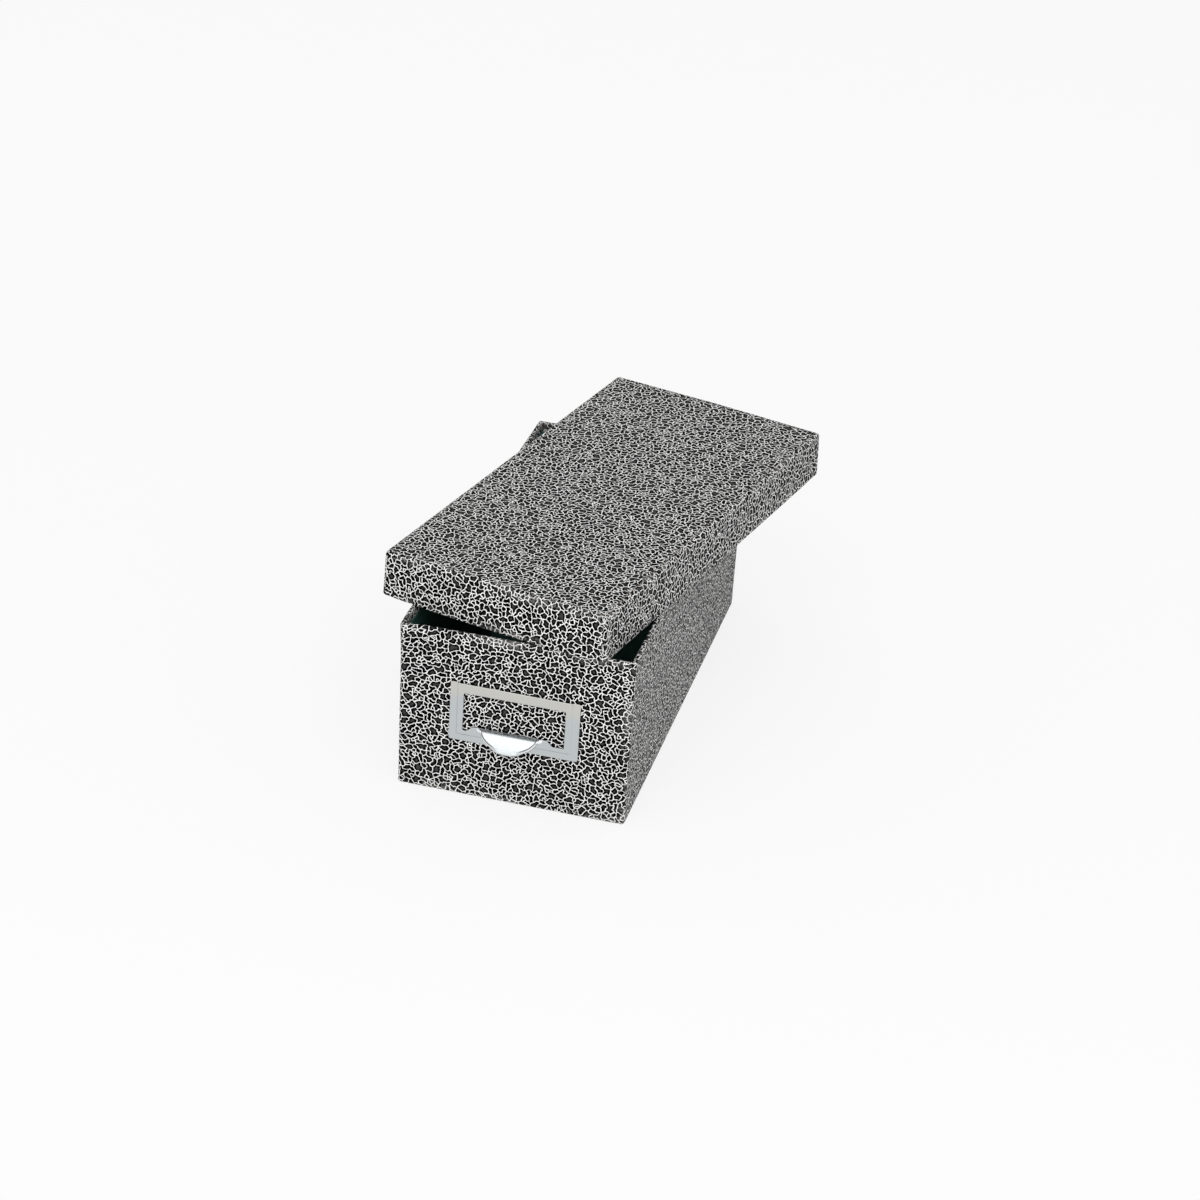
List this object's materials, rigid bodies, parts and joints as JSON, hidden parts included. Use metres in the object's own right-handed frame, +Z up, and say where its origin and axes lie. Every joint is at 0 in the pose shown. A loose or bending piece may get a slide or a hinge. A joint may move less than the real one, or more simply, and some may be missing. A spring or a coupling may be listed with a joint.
{
  "type": "index card box",
  "caption": "Paper-covered fibreboard box for 3 x 5 in index cards, with a lift-off lid laid askew on its rim and a metal label frame with finger pull.",
  "frame": {"origin": "centre of the base's underside, on the surface that the box stands on", "axes": "+Z up, -Y towards the label holder at the front, +X to the right seen from the front"},
  "size_m": [0.2078, 0.3268, 0.1391],
  "materials": {
    "board": "matte",
    "tape": "matte",
    "marbled_paper": "satin",
    "bottom_paper": "satin",
    "dark_lining": "matte",
    "stamped_metal": "satin"
  },
  "bodies": {
    "base": {"base_bottom_board": "board", "base_front_board": "board", "base_rear_board": "board", "base_left_board": "board", "base_right_board": "board", "base_stay_front_left": "tape", "base_stay_front_right": "tape", "base_stay_rear_left": "tape", "base_stay_rear_right": "tape", "base_wrap": "marbled_paper", "base_bottom_sheet": "bottom_paper", "base_wall_lining": "dark_lining", "base_floor_lining": "dark_lining", "label_holder": "stamped_metal"},
    "lid": {"lid_top_board": "board", "lid_front_board": "board", "lid_rear_board": "board", "lid_left_board": "board", "lid_right_board": "board", "lid_stay_front_left": "tape", "lid_stay_front_right": "tape", "lid_stay_rear_left": "tape", "lid_stay_rear_right": "tape", "lid_wrap": "marbled_paper", "lid_wall_lining": "dark_lining", "lid_top_lining": "dark_lining"}
  },
  "joints": [
    {"name": "lid_lift", "type": "slide", "parent": "base", "child": "lid", "axis": [0, 0, 1], "range_m": [0, 0.15]}
  ]
}
